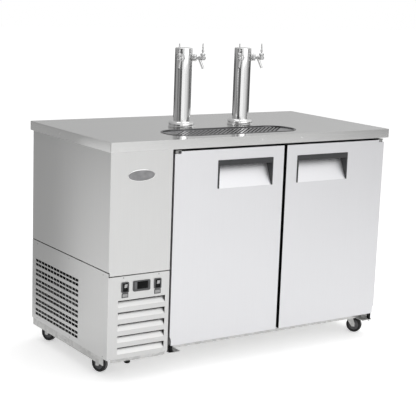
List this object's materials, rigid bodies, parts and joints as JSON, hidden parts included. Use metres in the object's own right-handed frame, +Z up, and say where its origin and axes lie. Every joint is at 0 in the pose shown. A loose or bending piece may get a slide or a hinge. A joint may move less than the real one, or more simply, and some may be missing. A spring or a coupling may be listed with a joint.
{
  "type": "kegerator",
  "caption": "Refrigerated beer dispenser: insulated two-door keg cabinet on casters with a side machine bay, beer columns with lever taps, and a sunk drip tray.",
  "frame": {"origin": "on the floor under the middle of the worktop", "axes": "+X to the right seen from the front, the doors face -Y, +Z up"},
  "size_m": [1.468, 0.75, 1.373],
  "materials": {
    "worktop_steel": "satin",
    "panel_steel": "satin",
    "door_steel": "satin",
    "tray_steel": "polished",
    "liner": "satin",
    "galvanised": "satin",
    "chrome": "polished",
    "fins": "satin",
    "black_paint": "satin",
    "black_plastic": "satin",
    "dark_plastic": "satin",
    "grey_rubber": "matte",
    "wheel_rubber": "matte",
    "foam": "matte"
  },
  "bodies": {
    "cabinet": {"worktop": "worktop_steel", "drip_tray_pan": "tray_steel", "base_frame": "galvanised", "cabinet_shell": "panel_steel", "inner_liner": "liner", "centre_mullion": "black_plastic", "upper_bay_panel": "panel_steel", "lower_vent_cover": "panel_steel", "bay_back_panel": "galvanised", "badge_plate": "black_plastic", "cord_gland": "black_plastic", "left_switch_housing": "black_plastic", "right_switch_housing": "black_plastic", "controller_housing": "dark_plastic", "left_top_hinge": "galvanised", "left_bottom_hinge": "galvanised", "right_top_hinge": "galvanised", "right_bottom_hinge": "galvanised", "tower_1_column": "chrome", "tower_2_column": "chrome", "tower_1_flange": "chrome", "tower_2_flange": "chrome", "tower_1_beer_lines": "foam", "tower_2_beer_lines": "foam", "tower_1_left_tap": "chrome", "tower_1_right_tap": "chrome", "tower_2_left_tap": "chrome", "tower_2_right_tap": "chrome", "front_left_caster_plate": "galvanised", "front_right_caster_plate": "galvanised", "rear_left_caster_plate": "galvanised", "rear_right_caster_plate": "galvanised", "compressor": "black_paint", "condenser": "fins", "evaporator": "fins"},
    "drip_grille": {"drip_grille": "tray_steel"},
    "left_rocker": {"left_rocker": "black_plastic"},
    "right_rocker": {"right_rocker": "black_plastic"},
    "left_door": {"left_door_body": "door_steel", "left_door_handle": "dark_plastic", "left_door_gasket": "grey_rubber"},
    "right_door": {"right_door_body": "door_steel", "right_door_handle": "dark_plastic", "right_door_gasket": "grey_rubber"},
    "tower_1_left_lever": {"tower_1_left_lever": "chrome"},
    "tower_1_right_lever": {"tower_1_right_lever": "chrome"},
    "tower_2_left_lever": {"tower_2_left_lever": "chrome"},
    "tower_2_right_lever": {"tower_2_right_lever": "chrome"},
    "condenser_fan": {"condenser_fan": "black_plastic"},
    "evaporator_fan": {"evaporator_fan": "black_plastic"},
    "front_left_fork": {"front_left_caster_fork": "galvanised"},
    "front_right_fork": {"front_right_caster_fork": "galvanised"},
    "rear_left_fork": {"rear_left_caster_fork": "galvanised"},
    "rear_right_fork": {"rear_right_caster_fork": "galvanised"},
    "front_left_wheel": {"front_left_caster_wheel": "wheel_rubber"},
    "front_right_wheel": {"front_right_caster_wheel": "wheel_rubber"},
    "rear_left_wheel": {"rear_left_caster_wheel": "wheel_rubber"},
    "rear_right_wheel": {"rear_right_caster_wheel": "wheel_rubber"},
    "front_left_pedal": {"front_left_brake_pedal": "dark_plastic"},
    "front_right_pedal": {"front_right_brake_pedal": "dark_plastic"}
  },
  "joints": [
    {"name": "left_door_hinge", "type": "hinge", "parent": "cabinet", "child": "left_door", "pos_m": [-0.416, -0.356, 0.53], "axis": [0, 0, -1], "range_deg": [0, 110]},
    {"name": "right_door_hinge", "type": "hinge", "parent": "cabinet", "child": "right_door", "pos_m": [0.696, -0.356, 0.53], "axis": [0, 0, 1], "range_deg": [0, 110]},
    {"name": "grille_lift", "type": "slide", "parent": "cabinet", "child": "drip_grille", "axis": [0, 0, 1], "range_m": [0, 0.06]},
    {"name": "left_rocker_pivot", "type": "hinge", "parent": "cabinet", "child": "left_rocker", "pos_m": [-0.652, -0.367, 0.4005], "axis": [-1, 0, 0], "range_deg": [0, 18]},
    {"name": "right_rocker_pivot", "type": "hinge", "parent": "cabinet", "child": "right_rocker", "pos_m": [-0.497, -0.367, 0.4005], "axis": [-1, 0, 0], "range_deg": [0, 18]},
    {"name": "tower_1_left_lever_tilt", "type": "hinge", "parent": "cabinet", "child": "tower_1_left_lever", "pos_m": [-0.24381, -0.08081, 1.325], "axis": [0.7071, -0.7071, 0], "range_deg": [0, 30]},
    {"name": "tower_1_right_lever_tilt", "type": "hinge", "parent": "cabinet", "child": "tower_1_right_lever", "pos_m": [-0.12219, -0.08081, 1.325], "axis": [0.7071, 0.7071, 0], "range_deg": [0, 30]},
    {"name": "tower_2_left_lever_tilt", "type": "hinge", "parent": "cabinet", "child": "tower_2_left_lever", "pos_m": [0.07419, -0.08081, 1.325], "axis": [0.7071, -0.7071, 0], "range_deg": [0, 30]},
    {"name": "tower_2_right_lever_tilt", "type": "hinge", "parent": "cabinet", "child": "tower_2_right_lever", "pos_m": [0.19581, -0.08081, 1.325], "axis": [0.7071, 0.7071, 0], "range_deg": [0, 30]},
    {"name": "condenser_fan_spin", "type": "hinge", "parent": "cabinet", "child": "condenser_fan", "pos_m": [-0.587, -0.273, 0.2283], "axis": [0, 1, 0], "continuous": true},
    {"name": "evaporator_fan_spin", "type": "hinge", "parent": "cabinet", "child": "evaporator_fan", "pos_m": [-0.2795, 0.09, 0.7817], "axis": [1, 0, 0], "continuous": true},
    {"name": "front_left_swivel", "type": "hinge", "parent": "cabinet", "child": "front_left_fork", "pos_m": [-0.671, -0.244, 0.085], "axis": [0, 0, 1], "continuous": true},
    {"name": "front_right_swivel", "type": "hinge", "parent": "cabinet", "child": "front_right_fork", "pos_m": [0.671, -0.244, 0.085], "axis": [0, 0, 1], "continuous": true},
    {"name": "rear_left_swivel", "type": "hinge", "parent": "cabinet", "child": "rear_left_fork", "pos_m": [-0.671, 0.245, 0.085], "axis": [0, 0, 1], "continuous": true},
    {"name": "rear_right_swivel", "type": "hinge", "parent": "cabinet", "child": "rear_right_fork", "pos_m": [0.671, 0.245, 0.085], "axis": [0, 0, 1], "continuous": true},
    {"name": "front_left_wheel_spin", "type": "hinge", "parent": "front_left_fork", "child": "front_left_wheel", "pos_m": [-0.68023, -0.21863, 0.03654], "axis": [0.9397, 0.342, 0], "continuous": true},
    {"name": "front_right_wheel_spin", "type": "hinge", "parent": "front_right_fork", "child": "front_right_wheel", "pos_m": [0.68687, -0.26584, 0.03654], "axis": [-0.809, -0.5878, 0], "continuous": true},
    {"name": "rear_left_wheel_spin", "type": "hinge", "parent": "rear_left_fork", "child": "rear_left_wheel", "pos_m": [-0.68023, 0.27037, 0.03654], "axis": [0.9397, 0.342, 0], "continuous": true},
    {"name": "rear_right_wheel_spin", "type": "hinge", "parent": "rear_right_fork", "child": "rear_right_wheel", "pos_m": [0.67934, 0.21932, 0.03654], "axis": [-0.9511, -0.309, 0], "continuous": true},
    {"name": "front_left_pedal_press", "type": "hinge", "parent": "front_left_fork", "child": "front_left_pedal", "pos_m": [-0.66963, -0.24776, 0.0775], "axis": [0.9397, 0.342, 0], "range_deg": [0, 15]},
    {"name": "front_right_pedal_press", "type": "hinge", "parent": "front_right_fork", "child": "front_right_pedal", "pos_m": [0.66865, -0.24076, 0.0775], "axis": [-0.809, -0.5878, 0], "range_deg": [0, 15]}
  ]
}
